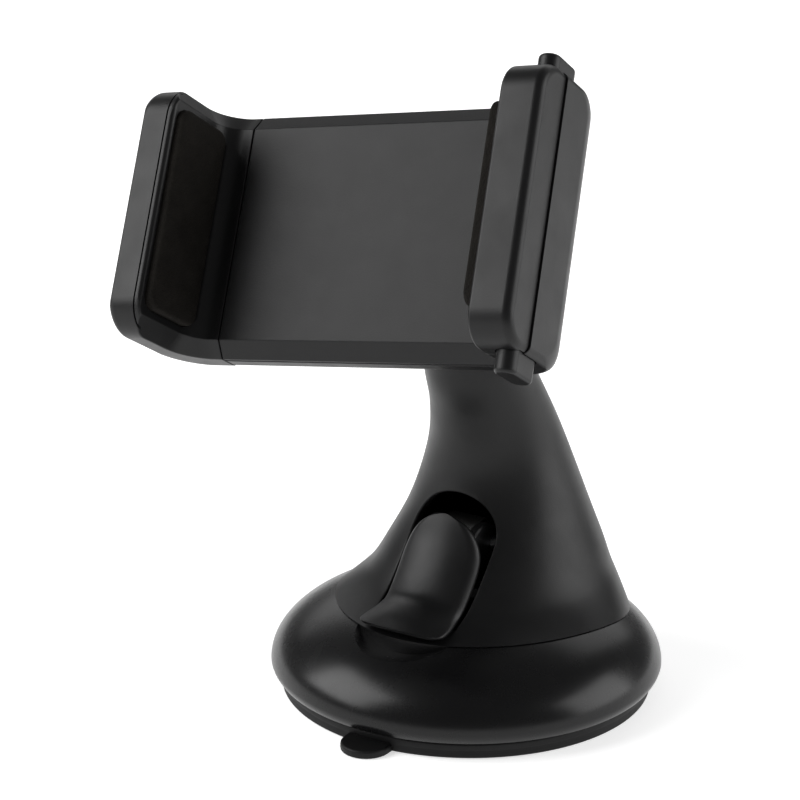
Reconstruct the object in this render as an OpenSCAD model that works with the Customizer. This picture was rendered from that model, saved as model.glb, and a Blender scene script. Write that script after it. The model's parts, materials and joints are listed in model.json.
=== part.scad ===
// Dashboard phone mount: suction base, swan neck, ball joint and a spring cradle.
// Origin: centre of the suction face, on the surface that the mount stands on.
// +Z is up and -Y is the front, where the lock lever and the cradle face.

/* [Base] */
// Largest diameter of the base ring
base_d = 80; // [76:1:84]
// Height at which the base ring is widest
ring_belt_z = 5.4; // [5:0.1:6]
// Height of the base ring's crown above its belt
ring_crown = 15.7; // [15:0.1:16.5]
// Diameter of the suction cup
cup_d = 75.6; // [74:0.2:76]
// Travel of the suction cup's centre when the lever locks
cup_stroke = 2.4; // [2:0.1:2.6]

/* [Neck] */
// Wall thickness of the hollow neck
neck_wall = 2.2; // [1.8:0.1:2.6]
// Lean of the neck's head from the vertical, in degrees
neck_lean = 33; // [30:1:35]

/* [Lever] */
// Width of the lock lever
lever_w = 17.6; // [16:0.2:18]
// Height of the lever's pivot above the table
lever_pivot_z = 31; // [31:0.1:31.2]
// Swing of the lever from locked to open, in degrees
lever_swing = 38; // [34:1:38]

/* [Ball joint] */
// Diameter of the ball
ball_d = 17; // [16:0.5:17]
// Running clearance between the ball, its liner and the socket
ball_clearance = 0.06; // [0.04:0.01:0.1]
// Outer diameter of the collar nut
nut_d = 28; // [27:0.5:30]

/* [Cradle] */
// Elevation of the cradle's face above the horizontal, in degrees
face_elevation = 29.5; // [20:0.5:35]
// Roll of the cradle about its own face, in degrees
cradle_roll = 8.1; // [0:0.1:15]
// Length of the front plate, from the arm's parting line to the right jaw
plate_len = 62; // [62:0.5:63]
// Height of the plate and of the sliding arm
cradle_h = 48.4; // [48:0.2:50]
// Height of the right jaw
jaw_h = 51; // [50.5:0.5:53]
// Depth of the jaws in front of the plate
jaw_depth = 17.8; // [17:0.1:19]
// Travel of a release button
button_travel = 3; // [2:0.5:3]

/* [Hidden] */
$fn = 96;
eps = 0.01;
lap = 0.2;

// Colours
satin_black = [0.13, 0.13, 0.14];
gloss_black = [0.07, 0.07, 0.08];
soft_black = [0.17, 0.17, 0.18];
rubber_black = [0.05, 0.05, 0.05];
foam_black = [0.11, 0.10, 0.09];
steel = [0.72, 0.73, 0.75];
nylon = [0.80, 0.79, 0.75];

// Suction cup, from the table up
cup_r = cup_d / 2;
cup_rim_h = 3.2;
cup_flat_r = 30;
cup_dome = 2.6;
cup_boss_r = 12;
cup_boss_top = 4;
tab_w = 10;
tab_reach = 43.6;
tab_h = 1.6;

// Base ring: an elliptical crown around the axis, with a thick roof
ring_r = base_d / 2;
ring_core_r = 5;
ring_skin = 2.5;
ring_roof = 4.5;
ring_mouth_r = 22;
ring_lip_z = 3.6;
ring_lip_r = ring_r - 1.5;
scoop_back_r = 26;
scoop_back_y = -0.3;
scoop_r = 22;
scoop_at = [0, -27, 37];

// Base plate: a disc with the guide tower for the pull stem
plate_r = 36;
plate_z = 3.9;
plate_t = 2.5;
stem_disc_r = 11;
stem_disc_t = 2;
stem_r = 4;
stem_running = 0.08;
spring_hood_r = 14.2;
spring_hood_z = 10.5;
spring_hood_t = 1.6;
tower_r = 7;
cam_table_z = 23.7;
cam_table_t = 2;
boss_at = [[20.2, 2], [-20.2, 2], [13.5, 26], [-13.5, 26]];
boss_r = 3.4;
neck_boss_r = 3;
boss_z = 8;
screw_r = 1.2;
screw_head_r = 2.4;
screw_head_t = 1.6;

// Lever: two eccentric cams turn on the stem's pin and bear on the cam table
cam_r = 6;
cam_throw = cup_stroke / (2 * sin(lever_swing / 2));
cam_centre = [-cam_throw * cos(lever_swing / 2), -cam_throw * sin(lever_swing / 2)];
cheek_in = 4.3;
cheek_t = 3;
pin_r = 1.5;
pin_running = 0.05;
stem_head_w = 8;
stem_head_r = 4.5;
stem_head_z = 26.5;

// Pocket for the lever in the front of the neck
pocket_r = 9.5;
pocket_top = 42.2;
pocket_sill = 18.6;

// Ball joint
ball_r = ball_d / 2;
ball_depth = 20;
ball_u = 33.4;
ball_at = [0, -11.6, 89.8];
stud_r = 4;
stud_len = 38;
clip_r = 5.6;
clip_seat = 3.1;
neck_head_gap = 13;
liner_t = 1;
liner_in = ball_r + ball_clearance;
liner_out = liner_in + liner_t;
socket_in = liner_out + ball_clearance;
socket_r = 11.4;
socket_grip = 2.6;
flange_r = 16;
flange_t = 1.8;
nut_r = nut_d / 2;
nut_back = 4.8;

// Cradle, in its own frame: u along the plate, v up the jaws, w out of the face
half_h = cradle_h / 2;
half_jaw = jaw_h / 2;
back_w = -8;
wall = 1.6;
floor_w = back_w + wall;
bevel = 3.2;
bevel_drop = 2.4;
skirt_w = -3;
plate_back_w = -1.8;
seam = 0.6;
edge_r = 2.5;
gap = 0.25;
jaw_in = plate_len;
jaw_out = plate_len + 8.6;
jaw_wall = 1.6;
jaw_split_w = 9.5;
jaw_corner_r = 6;
outer_corner_r = 8.6;
end_wall_v = 20.5;
rail_in = 13;
rail_out = 17;
rail_w = [-6.1, -3.3];
rail_end = 55;
tooth_pitch = 2.5;
tooth_h = 1;
arm_in = -6;
arm_out = -12.6;
arm_corner_r = 9;
arm_fillet_r = 4.5;
pad_recess = 0.5;
button_u = 67.2;
button_w = 9.3;
button_t = 4.2;
button_h = 9.6;
button_stub = 1.3;
button_end = half_jaw + button_travel + button_stub;
slider_u = [64.2, 66.2];
slider_w = 2.6;
finger_v = [8.6, 10.6];
finger_w = [-4.7, -2.1];
finger_tip_u = 27;
pawl_v = 11.75;
small_screw_r = 0.9;
small_head_r = 1.8;
small_head_t = 1.1;
housing_boss_r = 1.9;
housing_screw_at = [[6, 20.7], [6, -20.7], [57.5, 20.7], [57.5, -20.7]];
socket_screw_ring = 13.6;
jaw_screw_at = [12, 12.6];

// ---------- shared shapes ----------

function arc(c, r, a0, a1, n = 10) =
    [for (i = [0:n]) let (a = a0 + (a1 - a0) * i / n) c + r * [cos(a), sin(a)]];

// Height of the base ring's crown at a distance from the axis
function crown_z(r) =
    ring_belt_z + ring_crown * sqrt(1 - pow((r - ring_core_r) / (ring_r - ring_core_r), 2));

// A quarter ellipse from its side to its top
function quarter(cx, cy, a, b, a0, a1, n = 18) =
    [for (i = [0:n]) let (t = a0 + (a1 - a0) * i / n) [cx + a * cos(t), cy + b * sin(t)]];

// Catmull-Rom interpolation of a list of equal-length vectors
function spline(p, t) =
    let (n = len(p) - 1, i = min(floor(t), n - 1), f = t - i,
        a = p[max(i - 1, 0)], b = p[i], c = p[i + 1], d = p[min(i + 2, n)])
    0.5 * (2 * b + (c - a) * f + (2 * a - 5 * b + 4 * c - d) * f * f
        + (3 * b - a - 3 * c + d) * f * f * f);

// A closed solid through a list of rings with equal numbers of points
module loft(rings) {
    n = len(rings[0]);
    m = len(rings);
    sides = [for (j = [0:m - 2], i = [0:n - 1]) let (k = (i + 1) % n)
        each [[j * n + i, (j + 1) * n + i, (j + 1) * n + k], [j * n + i, (j + 1) * n + k, j * n + k]]];
    low = [for (i = [0:n - 1]) [m * n, i, (i + 1) % n]];
    high = [for (i = [0:n - 1]) [m * n + 1, (m - 1) * n + (i + 1) % n, (m - 1) * n + i]];
    function middle(r) = [for (s = r) 1] * r / n;
    polyhedron(concat([for (r = rings) each r], [middle(rings[0]), middle(rings[m - 1])]),
        concat(sides, low, high), convexity = 8);
}

// A coil spring along +Z with closed ends
module coil(r, wire_r, length, turns, per_turn = 12, sides = 6) {
    steps = turns * per_turn;
    loft([for (i = [0:steps]) let (a = 360 * i / per_turn,
        z = wire_r + (length - 2 * wire_r) * i / steps)
        [for (j = [0:sides - 1]) let (b = -360 * j / sides)
            [(r + wire_r * cos(b)) * cos(a), (r + wire_r * cos(b)) * sin(a), z + wire_r * sin(b)]]]);
}

// Cradle frame, turned about the ball's centre
module on_cradle() {
    translate(ball_at)
        rotate([90 - face_elevation, 0, 0])
            rotate([0, 0, cradle_roll])
                translate([-ball_u, 0, ball_depth])
                    children();
}

// Frame at the ball's centre with +Z out of the cradle's face
module on_ball_axis() {
    on_cradle()
        translate([ball_u, 0, -ball_depth])
            children();
}

// Frame at the ball's centre with -Z down the neck
module on_stud() {
    translate(ball_at)
        rotate([neck_lean, 0, 0])
            children();
}

// Extrude a (u, w) profile along v, or a (v, w) profile along u
module along_v(h) {
    rotate([90, 0, 0])
        linear_extrude(h, center = true)
            children();
}

module along_u(u0, u1) {
    translate([u0, 0, 0])
        rotate([90, 0, 90])
            linear_extrude(u1 - u0)
                children();
}

// A block between two corners in the cradle frame
module block(a, b) {
    translate(a)
        cube(b - a);
}

// Jaw outline in the (v, w) plane, inset by t: rounded at the front, less so at the back
module jaw_outline(half, front_r, back_r, t = 0) {
    polygon(concat(
        arc([half - front_r, jaw_depth - front_r], front_r - t, 0, 90),
        arc([front_r - half, jaw_depth - front_r], front_r - t, 90, 180),
        arc([back_r - half, back_w + back_r], back_r - t, 180, 270, 5),
        arc([half - back_r, back_w + back_r], back_r - t, 270, 360, 5)));
}

// A screw along +Z with its head's outer face at z = 0
module screw(r, head_r, head_t, length) {
    cylinder(h = head_t, r = head_r, $fn = 32);
    cylinder(h = length, r = r, $fn = 32);
}

// ---------- base ----------

module suction_cup() {
    dome = [for (i = [0:8]) let (r = cup_flat_r * i / 8) [r, cup_dome * (1 - pow(r / cup_flat_r, 2))]];
    color(rubber_black)
    union() {
        rotate_extrude()
            polygon(concat(dome, [[cup_r - 0.4, 0], [cup_r, 0.5], [cup_r, cup_rim_h - 0.5],
                [cup_r - 0.6, cup_rim_h], [cup_flat_r - 2, cup_rim_h], [cup_boss_r + 2, plate_z - 0.3],
                [cup_boss_r, cup_boss_top], [0, cup_boss_top]]));
        translate([-tab_w / 2, -tab_reach + tab_w / 2, 0])
            cube([tab_w, tab_reach - cup_r + 1, tab_h]);
        translate([0, -tab_reach + tab_w / 2, 0])
            cylinder(h = tab_h, d = tab_w, $fn = 48);
    }
}

module base_ring() {
    outer_top = acos((ring_mouth_r - ring_core_r) / (ring_r - ring_core_r));
    inner_a = ring_r - ring_core_r - ring_skin;
    inner_b = ring_crown - ring_roof;
    inner_top = acos((ring_mouth_r - ring_core_r) / inner_a);
    color(gloss_black)
    difference() {
        rotate_extrude()
            polygon(concat(
                quarter(ring_core_r, ring_belt_z, ring_r - ring_core_r, ring_crown, 0, outer_top),
                quarter(ring_core_r, ring_belt_z, inner_a, inner_b, inner_top, 0),
                [[plate_r + 0.4, ring_lip_z], [ring_lip_r, ring_lip_z], [ring_r - 0.6, ring_lip_z + 0.6]]));
        difference() {
            translate(scoop_at)
                sphere(r = scoop_r);
            translate([0, scoop_back_y, 0])
                cylinder(h = 40, r = scoop_back_r);
        }
        for (p = boss_at)
            translate([p[0], p[1], 0])
                cylinder(h = 40, r = neck_boss_r + 0.15, $fn = 48);
    }
}

module base_plate() {
    color(satin_black)
    difference() {
        union() {
            translate([0, 0, plate_z])
                cylinder(h = plate_t, r = plate_r);
            translate([0, 0, cup_rim_h])
                cylinder(h = plate_z - cup_rim_h + eps, r = plate_r);
            translate([0, 0, plate_z])
                cylinder(h = spring_hood_z + spring_hood_t - plate_z, r = spring_hood_r);
            cylinder_between(spring_hood_z, cam_table_z, tower_r);
            translate([-9, -8, cam_table_z - cam_table_t])
                cube([18, 16, cam_table_t]);
            for (a = [0:90:270])
                rotate(a + 45)
                    translate([tower_r - 1, -0.9, plate_z])
                        cube([9, 1.8, 13]);
            for (p = boss_at)
                translate([p[0], p[1], plate_z])
                    cylinder(h = boss_z - plate_z, r = boss_r, $fn = 48);
        }
        translate([0, 0, cup_rim_h - 1])
            cylinder(h = plate_z - cup_rim_h + 1, r = plate_r - 3);
        translate([0, 0, plate_z - 1])
            cylinder(h = spring_hood_z - plate_z + 1, r = spring_hood_r - 1.6);
        cylinder_between(0, cam_table_z + 1, stem_r + stem_running);
        for (p = boss_at)
            translate([p[0], p[1], 0]) {
                cylinder(h = 20, r = screw_r + 0.2, $fn = 32);
                cylinder(h = plate_z + screw_head_t, r = screw_head_r + 0.2, $fn = 32);
            }
    }
}

module cylinder_between(z0, z1, r) {
    translate([0, 0, z0])
        cylinder(h = z1 - z0, r = r);
}

module base_screws() {
    color(steel)
    for (p = boss_at)
        translate([p[0], p[1], plate_z + eps])
            screw(screw_r, screw_head_r, screw_head_t - eps, 9);
}

// ---------- neck ----------

// Each station is a tilted oval: z, y, tilt, half width, front reach, back reach
head = ball_at + neck_head_gap * [0, sin(neck_lean), -cos(neck_lean)];
neck_stations = [
    [16.5, 8.3, 0, 29.9, 34.6, 28.2],
    [22, 10.7, 0, 25.2, 28.2, 24],
    [28, 12.1, 0, 22.1, 23.9, 21.4],
    [35, 12.9, 0, 18.8, 19.6, 18.5],
    [43, 12.2, 3, 15.9, 15.9, 15.9],
    [52, 10.1, 12, 13.2, 13.2, 13.2],
    [61, 6.1, 22, 11.2, 11.2, 11.2],
    [70, 1.2, 31, 9.9, 9.9, 9.9],
    [head[2], head[1], neck_lean, 6, 6, 6]];
neck_gap = 0.2;
neck_edge = 0.15;
neck_sides = 48;
neck_rings = 2;

function oval(s, inset) =
    [for (i = [0:neck_sides - 1]) let (a = 360 * i / neck_sides, x = (s[3] - inset) * cos(a),
        y = sin(a) * ((sin(a) < 0 ? s[4] : s[5]) - inset))
        [x, s[1] + y * cos(s[2]), s[0] + y * sin(s[2])]];

// How far the neck's foot is raised at each point to follow the crown of the base ring
function foot_rise(inset) =
    [for (p = oval(neck_stations[0], inset)) crown_z(norm([p[0], p[1]])) + neck_gap + neck_edge - p[2]];

// A ring of the neck at station t, with the foot's rise fading out by the next station
function neck_ring(t, inset, drop = 0) =
    let (ring = oval(spline(neck_stations, t), inset), rise = foot_rise(inset))
    [for (i = [0:neck_sides - 1]) ring[i] + [0, 0, max(0, 1 - t) * rise[i] - drop]];

module neck_shell() {
    last = len(neck_stations) - 1;
    outer = concat([neck_ring(0, 0, 1.5)], [for (i = [0:last * neck_rings]) neck_ring(i / neck_rings, 0)]);
    hollow_top = 6;
    inner = concat([neck_ring(0, neck_wall, 6)],
        [for (i = [0:hollow_top * neck_rings]) neck_ring(i / neck_rings, neck_wall)]);
    color(satin_black)
    difference() {
        union() {
            difference() {
                loft(outer);
                loft(inner);
                crown(neck_gap);
            }
            for (p = boss_at)
                translate([p[0], p[1], boss_z])
                    cylinder(h = 13.5, r = neck_boss_r, $fn = 48);
        }
        pocket();
        on_stud()
            translate([0, 0, -stud_len - 6])
                cylinder(h = 40, r = stud_r + stem_running, $fn = 64);
        on_stud()
            translate([0, 0, -stud_len - 6])
                cylinder(h = 6 + clip_seat, r = clip_r + 0.8, $fn = 64);
        for (p = boss_at)
            translate([p[0], p[1], 0])
                cylinder(h = 13, r = screw_r, $fn = 32);
    }
}

// The dome that the base ring's crown belongs to, raised by a gap
module crown(raised) {
    rotate_extrude()
        translate([0, raised])
            polygon(concat([[0, 0]],
                quarter(ring_core_r, ring_belt_z, ring_r - ring_core_r, ring_crown, 0, 90),
                [[0, ring_belt_z + ring_crown]]));
}

module pocket() {
    rotate([90, 0, 0])
        translate([0, 0, -1])
            linear_extrude(40)
                polygon(concat(arc([0, pocket_top - pocket_r], pocket_r, 0, 180, 24),
                    [[-pocket_r, pocket_sill], [pocket_r, pocket_sill]]));
}

// ---------- lever and plunger ----------

module pull_stem() {
    color(nylon)
    difference() {
        union() {
            cylinder_between(cup_boss_top, cup_boss_top + stem_disc_t, stem_disc_r);
            cylinder_between(cup_boss_top, stem_head_z + 1, stem_r);
            intersection() {
                translate([-stem_head_w / 2, -stem_head_r, stem_head_z])
                    cube([stem_head_w, 2 * stem_head_r, 20]);
                union() {
                    translate([0, 0, lever_pivot_z])
                        rotate([0, 90, 0])
                            cylinder(h = stem_head_w, r = stem_head_r, center = true);
                    translate([-stem_head_w / 2, -stem_head_r, stem_head_z])
                        cube([stem_head_w, 2 * stem_head_r, lever_pivot_z - stem_head_z]);
                }
            }
        }
        translate([0, 0, lever_pivot_z])
            rotate([0, 90, 0])
                cylinder(h = 20, r = pin_r, center = true);
    }
}

module lever_pin() {
    color(steel)
        translate([0, 0, lever_pivot_z])
            rotate([0, 90, 0])
                cylinder(h = 2 * (cheek_in + cheek_t) + 1, r = pin_r, center = true);
}

module cup_spring() {
    color(steel)
        translate([0, 0, cup_boss_top + stem_disc_t + 0.02])
            coil(8, 0.5, spring_hood_z - cup_boss_top - stem_disc_t - 0.04, 3.5, 16, 6);
}

// Side profile of the lever in (y, z): the face, then the back
lever_face = [[-7, 40.4], [-8.6, 38.4], [-11.2, 33.2], [-14.4, 28.8], [-18, 25.4], [-22, 22.8],
    [-25.6, 21.2], [-28, 20.6]];
lever_back = [[-28, 19], [-25, 19.4], [-21.2, 20.8], [-17, 23.4], [-13, 27], [-9.6, 31.8],
    [-7.2, 36.6], [-5.8, 39.6]];

module lock_lever() {
    color(satin_black)
    difference() {
        union() {
            intersection() {
                rotate([90, 0, 90])
                    linear_extrude(40, center = true)
                        polygon(concat(lever_face, lever_back));
                rotate([90, 0, 0])
                    linear_extrude(60)
                        polygon(concat(arc([0, 40.6 - lever_w / 2], lever_w / 2, 0, 180, 24),
                            arc([-lever_w / 2 + 3, 17], 3, 180, 270, 6),
                            arc([lever_w / 2 - 3, 17], 3, 270, 360, 6)));
            }
            for (s = [-1, 1])
                translate([s * (cheek_in + cheek_t / 2), 0, 0])
                    cheek();
        }
        translate([0, 0, lever_pivot_z])
            rotate([0, 90, 0])
                cylinder(h = 30, r = pin_r + pin_running, center = true);
    }
}

// One cheek of the lever: a cam disc and a web to the tongue's back
module cheek() {
    translate([0, cam_centre[0], lever_pivot_z + cam_centre[1]])
        rotate([0, 90, 0])
            cylinder(h = cheek_t, r = cam_r, center = true);
    rotate([90, 0, 90])
        linear_extrude(cheek_t, center = true)
            polygon([[-3, lever_pivot_z + 4], [-7.6, 36.6], [-10, 32.2], [-13.4, 27.4], [-15, 26],
                [-8, 26], [-4, lever_pivot_z - 6]]);
}

// ---------- ball joint ----------

module ball_stud() {
    groove = stud_len - 2;
    color(satin_black)
    on_stud()
    difference() {
        union() {
            sphere(r = ball_r, $fn = 96);
            translate([0, 0, -stud_len])
                cylinder(h = stud_len, r = stud_r, $fn = 64);
        }
        translate([0, 0, -groove])
            difference() {
                cylinder(h = 1.1, r = stud_r + 2, $fn = 64);
                translate([0, 0, -1])
                    cylinder(h = 4, r = stud_r - 0.8, $fn = 64);
            }
    }
}

module stud_circlip() {
    color(steel)
    on_stud()
    translate([0, 0, 0.05 - stud_len + 2])
        linear_extrude(1)
            difference() {
                circle(r = clip_r, $fn = 64);
                circle(r = stud_r - 0.8, $fn = 64);
                translate([-1.4, 0])
                    square([2.8, 8]);
            }
}

module socket_liner() {
    color(nylon)
    on_ball_axis()
    difference() {
        sphere(r = liner_out, $fn = 96);
        sphere(r = liner_in, $fn = 96);
        translate([0, 0, -20 - socket_grip + 0.3])
            cylinder(h = 20, r = 20);
    }
}

module ball_socket() {
    rim = ball_depth + back_w;
    color(satin_black)
    on_ball_axis()
    difference() {
        union() {
            translate([0, 0, rim - flange_t])
                cylinder(h = flange_t, r = flange_r);
            translate([0, 0, -socket_grip])
                cylinder(h = rim + socket_grip, r = socket_r);
        }
        sphere(r = socket_in, $fn = 96);
        for (a = [0:60:120])
            rotate(a)
                translate([-20, -0.7, -10])
                    cube([40, 1.4, 16]);
        for (a = [30:120:270])
            rotate(a)
                translate([socket_screw_ring, 0, rim - flange_t - 1]) {
                    cylinder(h = 1 + small_head_t, r = small_head_r + 0.1, $fn = 32);
                    cylinder(h = 5, r = small_screw_r + 0.1, $fn = 32);
                }
    }
}

module socket_screws() {
    color(steel)
    on_ball_axis()
    for (a = [30:120:270])
        rotate(a)
            translate([socket_screw_ring, 0, ball_depth + back_w - flange_t + eps])
                screw(small_screw_r, small_head_r, small_head_t - eps, 3);
}

module ball_nut() {
    top = ball_depth + back_w - flange_t - 0.5;
    lip = 2;
    color(satin_black)
    on_ball_axis()
    difference() {
        translate([0, 0, -nut_back])
            cylinder(h = top + nut_back, r = nut_r);
        translate([0, 0, lip - nut_back])
            cylinder(h = 30, r = socket_r + 0.1);
        translate([0, 0, -nut_back - 1])
            cylinder(h = 30, r = ball_r + 0.9);
        for (a = [0:15:345])
            rotate(a)
                translate([nut_r + 0.5, 0, -nut_back + 2])
                    cylinder(h = 30, r = 1.1, $fn = 24);
    }
}

// ---------- cradle ----------

module rear_housing() {
    tray = concat(
        [[half_h, skirt_w - seam]],
        arc([half_h - edge_r, back_w + edge_r], edge_r, 0, -90, 5),
        arc([edge_r - half_h, back_w + edge_r], edge_r, -90, -180, 5),
        [[-half_h, skirt_w - seam], [wall - half_h - seam, skirt_w - seam], [wall - half_h - seam, skirt_w],
        [wall - half_h, skirt_w], [wall - half_h, floor_w], [half_h - wall, floor_w],
        [half_h - wall, skirt_w], [half_h - wall + seam, skirt_w], [half_h - wall + seam, skirt_w - seam]]);
    color(satin_black)
    on_cradle()
    difference() {
        union() {
            along_u(gap, jaw_in)
                polygon(tray);
            block([gap, -end_wall_v, floor_w], [gap + wall, end_wall_v, plate_back_w - 0.2]);
            intersection() {
                jaw_body(back_w, jaw_split_w - 0.1);
                along_u(jaw_in - 20, jaw_out + 1)
                    jaw_outline(half_jaw, jaw_corner_r, edge_r);
            }
            for (s = [-1, 1]) {
                guide_ribs(s);
                jaw_tab(s);
            }
            block([4 - 1, -1, floor_w], [4 + 1, 1, floor_w + 1]);
            block([slider_u[0] - 0.4, -1.5, floor_w], [slider_u[1] + 0.4, 1.5, 3]);
        }
        for (s = [-1, 1]) {
            rail_slot = [[0, s > 0 ? rail_in - tooth_h - 0.3 : -rail_out - 0.3, floor_w],
                [gap + wall + 1, s > 0 ? rail_out + 0.3 : tooth_h + 0.3 - rail_in, rail_w[1] + 0.3]];
            block(rail_slot[0], rail_slot[1]);
            button_hole(s);
        }
        for (p = housing_screw_at)
            translate([p[0], p[1], back_w - 1]) {
                cylinder(h = 1 + small_head_t, r = small_head_r + 0.1, $fn = 32);
                cylinder(h = 6, r = small_screw_r + 0.1, $fn = 32);
            }
        for (s = [-1, 1])
            translate([jaw_in - 1, s * jaw_screw_at[0], jaw_screw_at[1]])
                rotate([0, 90, 0])
                    cylinder(h = 10, r = small_screw_r, $fn = 32);
        translate([ball_u, 0, back_w - 1])
            for (a = [30:120:270])
                rotate(a)
                    translate([socket_screw_ring, 0, 0])
                        cylinder(h = 2.4, r = small_screw_r, $fn = 32);
    }
}

// The right jaw between two heights, as a hollow box around the release buttons
module jaw_body(w0, w1) {
    difference() {
        intersection() {
            along_v(jaw_h)
                polygon(jaw_profile(0));
            block([0, -half_jaw, w0], [jaw_out + 1, half_jaw, w1]);
        }
        intersection() {
            along_v(jaw_h)
                polygon(jaw_profile(jaw_wall));
            along_u(jaw_in, jaw_out)
                jaw_outline(half_jaw, jaw_corner_r, edge_r, jaw_wall);
        }
        block([jaw_in - 3, wall - half_h, floor_w], [jaw_in + jaw_wall + 0.1, half_h - wall, plate_back_w]);
    }
}

// Outline of the right jaw in (u, w), inset by t
function jaw_profile(t) =
    let (r = t > 0 ? 0.3 : 1, corner = [jaw_out - outer_corner_r, back_w + outer_corner_r],
        start = acos((jaw_in + t - corner[0]) / (outer_corner_r - t)))
    concat(
        arc(corner, outer_corner_r - t, -start, 0, 12),
        arc([jaw_out - t - r, jaw_depth - t - r], r, 0, 90, 4),
        arc([jaw_in + t + r, jaw_depth - t - r], r, 90, 180, 4));

// Guides for one rail: a side rib and the stop that ends the arm's travel
module guide_ribs(s) {
    for (u = [[9, 16], [26, 48]])
        mirrored(s)
            block([u[0], rail_out + 1.5, floor_w - lap], [u[1], rail_out + 2.3, rail_w[1]]);
    mirrored(s)
        block([16.5, rail_out + 0.3, floor_w - lap], [20.5, rail_out + 2.3, rail_w[1]]);
}

module mirrored(s) {
    mirror([0, s < 0 ? 1 : 0, 0])
        children();
}

// Tab inside the jaw that the cap is screwed to
module jaw_tab(s) {
    half = 3;
    mirrored(s) {
        block([jaw_in + jaw_wall - lap, jaw_screw_at[0] - half, half],
            [jaw_in + jaw_wall + eps, jaw_screw_at[0] + half, jaw_split_w - 0.2]);
        block([jaw_in + jaw_wall, jaw_screw_at[0] - half, half],
            [jaw_in + jaw_wall + 1.6, jaw_screw_at[0] + half, 15.6]);
    }
}

// Stadium opening for a release button in the jaw's end wall
module button_hole(s) {
    mirrored(s)
        translate([button_u, half_jaw - 7, button_w])
            button_block(12, 0.25);
}

// A stadium prism along +v
module button_block(length, grow) {
    r = button_t / 2 + grow;
    half = button_h / 2 + grow - r;
    rotate([-90, 0, 0]) {
        for (d = [-1, 1])
            translate([0, d * half, 0])
                cylinder(h = length, r = r, $fn = 48);
        translate([-r, -half, 0])
            cube([2 * r, 2 * half, length]);
    }
}

module front_plate() {
    t = -plate_back_w;
    half_top = half_h - bevel;
    color(soft_black)
    on_cradle()
    difference() {
        union() {
            along_u(gap, jaw_in)
                polygon([[half_top, 0], [half_h, -bevel_drop], [half_h, skirt_w], [half_h - wall, skirt_w],
                    [half_h - wall, -bevel_drop], [half_top - 0.8, -t], [0.8 - half_top, -t],
                    [wall - half_h, -bevel_drop], [wall - half_h, skirt_w], [-half_h, skirt_w],
                    [-half_h, -bevel_drop], [-half_top, 0]]);
            for (p = housing_screw_at)
                translate([p[0], p[1], floor_w])
                    cylinder(h = 4.8, r = housing_boss_r, $fn = 32);
        }
        for (p = housing_screw_at)
            translate([p[0], p[1], floor_w - 1])
                cylinder(h = 5, r = small_screw_r, $fn = 32);
    }
}

module housing_screws() {
    color(steel)
    on_cradle()
    for (p = housing_screw_at)
        translate([p[0], p[1], back_w + eps])
            screw(small_screw_r, small_head_r, small_head_t - eps, 5);
}

module right_jaw_cap() {
    color(satin_black)
    on_cradle()
    difference() {
        intersection() {
            jaw_body(jaw_split_w, jaw_depth + 1);
            along_u(jaw_in - 1, jaw_out + 1)
                jaw_outline(half_jaw, jaw_corner_r, edge_r);
        }
        for (s = [-1, 1]) {
            button_hole(s);
            translate([jaw_in - 1, s * jaw_screw_at[0], jaw_screw_at[1]])
                rotate([0, 90, 0]) {
                    cylinder(h = 1.8, r = small_head_r, $fn = 32);
                    cylinder(h = 4, r = small_screw_r + 0.1, $fn = 32);
                }
        }
    }
}

module jaw_screws() {
    color(steel)
    on_cradle()
    for (s = [-1, 1])
        translate([jaw_in + eps, s * jaw_screw_at[0], jaw_screw_at[1]])
            rotate([0, 90, 0])
                screw(small_screw_r, small_head_r - 0.05, 0.78, 3);
}

// A foam pad between two faces in u, rounded in the (v, w) plane
module pad(u0, u1, v0, v1, w0, w1) {
    r = 2.5;
    color(foam_black)
    along_u(u0, u1)
        polygon(concat(arc([v1 - r, w1 - r], r, 0, 90, 6), arc([v0 + r, w1 - r], r, 90, 180, 6),
            arc([v0 + r, w0 + r], r, 180, 270, 6), arc([v1 - r, w0 + r], r, 270, 360, 6)));
}

module right_pad() {
    on_cradle()
        pad(jaw_in - 3, jaw_in, -18.2, 19, 1.4, 15.4);
}

// ---------- sliding arm ----------

module left_pad() {
    on_cradle()
        pad(arm_in - pad_recess, arm_in + 1.8, -19.5, 19.5, 1.6, 16.4);
}

module left_arm() {
    color(satin_black)
    on_cradle()
    difference() {
        union() {
            intersection() {
                along_v(cradle_h)
                    polygon(concat(
                        arc([arm_out + arm_corner_r, back_w + arm_corner_r], arm_corner_r, 270, 180, 12),
                        arc([arm_out + 1, jaw_depth - 1], 1, 180, 90, 4),
                        arc([arm_in - 0.8, jaw_depth - 0.8], 0.8, 90, 0, 4),
                        arc([arm_in + arm_fillet_r, arm_fillet_r], arm_fillet_r, 180, 270, 8),
                        [[0, 0], [0, back_w]]));
                along_u(arm_out - 1, 1)
                    jaw_outline(half_h, 6.5, edge_r);
            }
            for (s = [-1, 1])
                mirrored(s)
                    rail();
            block([rail_end - 3, -rail_in, rail_w[0]], [rail_end, rail_in, rail_w[0] + 1.1]);
            block([rail_end - 3, -1, rail_w[0] + 1], [rail_end - 1.8, 1, rail_w[1] + 0.4]);
        }
        for (s = [-1, 1])
            mirrored(s) {
                along_u(arm_in + 0.5, 1)
                    polygon([[half_h - bevel, eps], [half_h + 1, eps], [half_h + 1, -bevel_drop],
                        [half_h, -bevel_drop]]);
                translate([0, 0, 3.4])
                    linear_extrude(20)
                        polygon([[arm_in, half_h - bevel], [arm_in - 2.2, half_h], [arm_in - 2.2, half_h + 1],
                            [arm_in + 10, half_h + 1], [arm_in + 10, half_h - bevel]]);
            }
        pad(arm_in - pad_recess, arm_in + 8, -19.5, 19.5, 1.6, 16.4);
    }
}

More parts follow.
